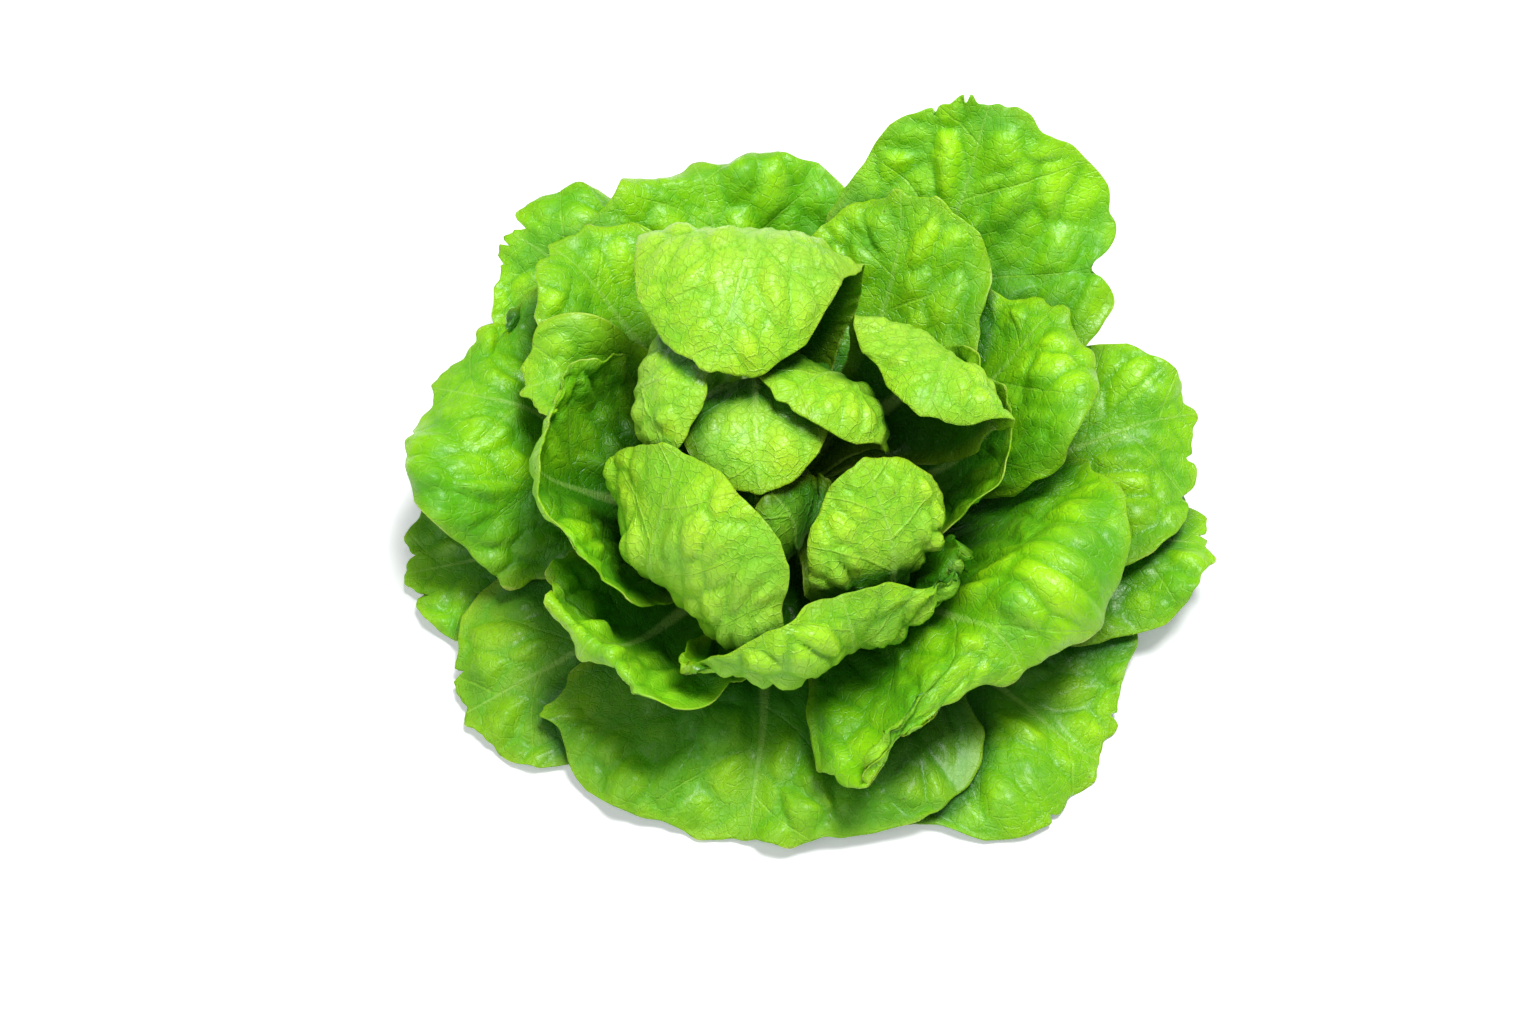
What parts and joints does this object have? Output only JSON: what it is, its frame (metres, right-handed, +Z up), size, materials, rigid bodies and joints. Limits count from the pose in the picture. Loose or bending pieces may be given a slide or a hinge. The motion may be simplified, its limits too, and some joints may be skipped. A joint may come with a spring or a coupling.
{
  "type": "butterhead lettuce",
  "caption": "Opened-out butterhead lettuce head: soft ruffled leaves wrapped in a rosette round a small folded heart, on a short cut stem.",
  "frame": {"origin": "centre of the stem's flat cut face, which the head rests on", "axes": "+Z up, through the heart; -Y the front; +X to the right of it"},
  "size_m": [0.2805, 0.2481, 0.1128],
  "materials": {
    "heart_leaf": "soft wet gloss, pale yellow-green, blistered leaf",
    "middle_leaf": "soft wet gloss, bright green, blistered leaf",
    "wrapper_leaf": "soft gloss, deeper green, blistered leaf with a pale margin",
    "stem": "moist, pale cream-green"
  },
  "bodies": {
    "root": {"stem": "stem", "core_left_leaf": "heart_leaf", "core_right_leaf": "heart_leaf", "heart_middle_leaf": "heart_leaf", "heart_upper_leaf": "heart_leaf", "heart_left_leaf": "heart_leaf", "heart_right_leaf": "heart_leaf", "heart_front_leaf": "heart_leaf", "collar_leaf": "heart_leaf", "hood_leaf": "heart_leaf", "cup_right_leaf": "middle_leaf", "cup_left_leaf": "middle_leaf", "cup_front_leaf": "middle_leaf", "tip_left_leaf": "middle_leaf", "back_right_inner_leaf": "middle_leaf", "back_left_inner_leaf": "middle_leaf", "front_left_cup_leaf": "middle_leaf", "right_upper_leaf": "wrapper_leaf", "right_lower_leaf": "wrapper_leaf", "left_leaf": "wrapper_leaf", "back_right_leaf": "wrapper_leaf", "right_leaf": "wrapper_leaf", "back_leaf": "wrapper_leaf", "back_left_leaf": "wrapper_leaf", "front_leaf": "wrapper_leaf", "right_low_leaf": "wrapper_leaf", "front_left_leaf": "wrapper_leaf", "front_right_leaf": "wrapper_leaf", "left_low_leaf": "wrapper_leaf"}
  },
  "joints": []
}
